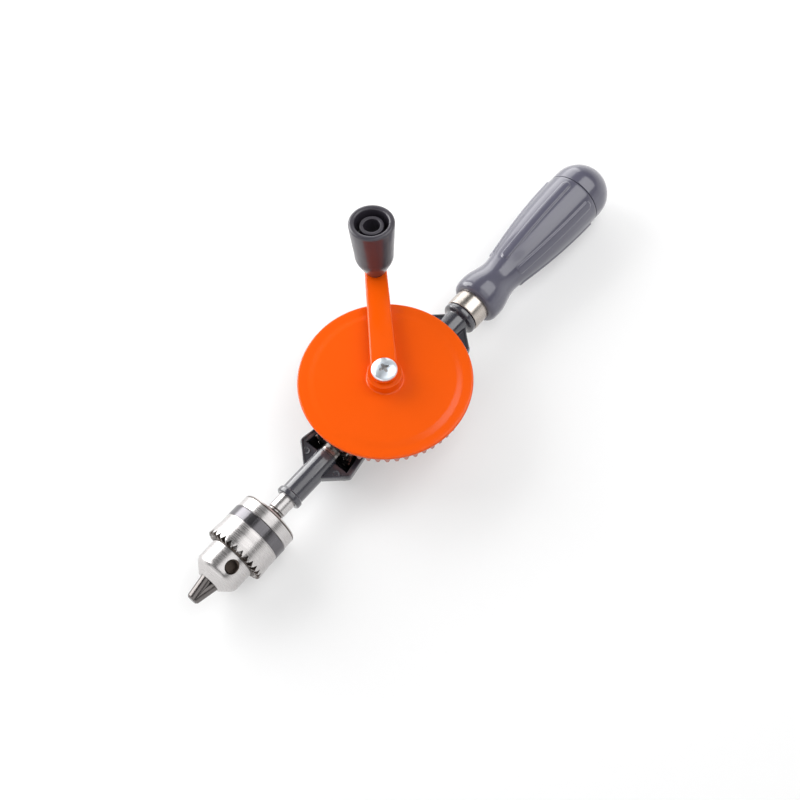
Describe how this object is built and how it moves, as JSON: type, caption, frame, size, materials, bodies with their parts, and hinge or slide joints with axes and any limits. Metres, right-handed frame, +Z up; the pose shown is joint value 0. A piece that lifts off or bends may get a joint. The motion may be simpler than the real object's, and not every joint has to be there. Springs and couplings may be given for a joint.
{
  "type": "hand_drill",
  "caption": "Eggbeater hand drill: a crank with a turning knob drives a large toothed wheel that spins a keyed chuck through a bevel pinion in a cast frame, with a ribbed handle behind.",
  "frame": {"origin": "centre of the chuck's mouth, on the spindle axis", "axes": "+X along the spindle, out of the chuck's mouth; +Z up along the wheel's axle, away from the frame; +Y completes a right-handed frame"},
  "size_m": [0.3511, 0.1115, 0.0839],
  "materials": {
    "frame_paint": "dark grey enamel on a casting, satin",
    "wheel_paint": "orange enamel, glossy",
    "arm_paint": "orange enamel, glossy",
    "handle_plastic": "grey moulded plastic, semi-gloss",
    "cap_plastic": "grey moulded plastic, semi-gloss",
    "knob_plastic": "charcoal moulded plastic, satin",
    "ferrule_nickel": "nickel plate",
    "chuck_steel": "turned bright steel",
    "sleeve_steel": "turned bright steel with a satin band",
    "jaw_steel": "ground hardened steel",
    "hard_steel": "dark hardened steel",
    "gear_steel": "machined steel, oiled",
    "spindle_steel": "turned bright steel",
    "zinc": "bright zinc plate",
    "plain_steel": "bright steel"
  },
  "bodies": {
    "frame": {"frame": "frame_paint", "idler_axle": "plain_steel", "idler_front_washer": "plain_steel", "idler_rear_washer": "plain_steel", "handle_rod": "plain_steel", "rod_washer": "plain_steel", "rod_nut": "zinc", "ferrule": "ferrule_nickel", "handle": "handle_plastic", "end_cap": "cap_plastic", "front_washer": "plain_steel", "thrust_washer": "plain_steel"},
    "crank": {"gear_wheel": "wheel_paint", "wheel_axle": "plain_steel", "axle_washer": "plain_steel", "axle_clip": "hard_steel", "crank_arm": "arm_paint", "arm_screw": "zinc", "knob_pin": "plain_steel"},
    "knob": {"crank_knob": "knob_plastic"},
    "spindle": {"spindle": "spindle_steel", "drive_pinion": "gear_steel", "pinion_pin": "plain_steel", "chuck_body": "chuck_steel"},
    "idler": {"idler_pinion": "gear_steel"},
    "sleeve": {"chuck_sleeve": "sleeve_steel", "chuck_nut": "hard_steel"},
    "jaw_1": {"jaw_1": "jaw_steel"},
    "jaw_2": {"jaw_2": "jaw_steel"},
    "jaw_3": {"jaw_3": "jaw_steel"}
  },
  "joints": [
    {"name": "crank_turn", "type": "hinge", "parent": "frame", "child": "crank", "pos_m": [-0.14181, 0, 0], "axis": [0, 0, 1], "continuous": true},
    {"name": "spindle_spin", "type": "hinge", "parent": "frame", "child": "spindle", "pos_m": [-0.14181, 0, 0], "axis": [1, 0, 0], "continuous": true},
    {"name": "idler_spin", "type": "hinge", "parent": "frame", "child": "idler", "pos_m": [-0.14181, 0, 0], "axis": [1, 0, 0], "continuous": true},
    {"name": "knob_spin", "type": "hinge", "parent": "crank", "child": "knob", "pos_m": [-0.19004, -0.04822, 0.02347], "axis": [-0.0616, -0.0616, 0.9962], "continuous": true},
    {"name": "chuck_sleeve_turn", "type": "hinge", "parent": "spindle", "child": "sleeve", "pos_m": [0, 0, 0], "axis": [1, 0, 0], "range_deg": [0, 5411]},
    {"name": "jaw_1_slide", "type": "slide", "parent": "spindle", "child": "jaw_1", "axis": [-0.9781, 0.207, -0.0199], "range_m": [0, 0.02405]},
    {"name": "jaw_2_slide", "type": "slide", "parent": "spindle", "child": "jaw_2", "axis": [-0.9781, -0.1207, -0.1693], "range_m": [0, 0.02405]},
    {"name": "jaw_3_slide", "type": "slide", "parent": "spindle", "child": "jaw_3", "axis": [-0.9781, -0.0862, 0.1892], "range_m": [0, 0.02405]}
  ],
  "couplings": [
    {"joint": "spindle_spin", "follows": "crank_turn", "ratio": -4},
    {"joint": "idler_spin", "follows": "crank_turn", "ratio": 4},
    {"joint": "jaw_1_slide", "follows": "chuck_sleeve_turn", "m_per_rad": 0.00025465},
    {"joint": "jaw_2_slide", "follows": "chuck_sleeve_turn", "m_per_rad": 0.00025465},
    {"joint": "jaw_3_slide", "follows": "chuck_sleeve_turn", "m_per_rad": 0.00025465}
  ]
}
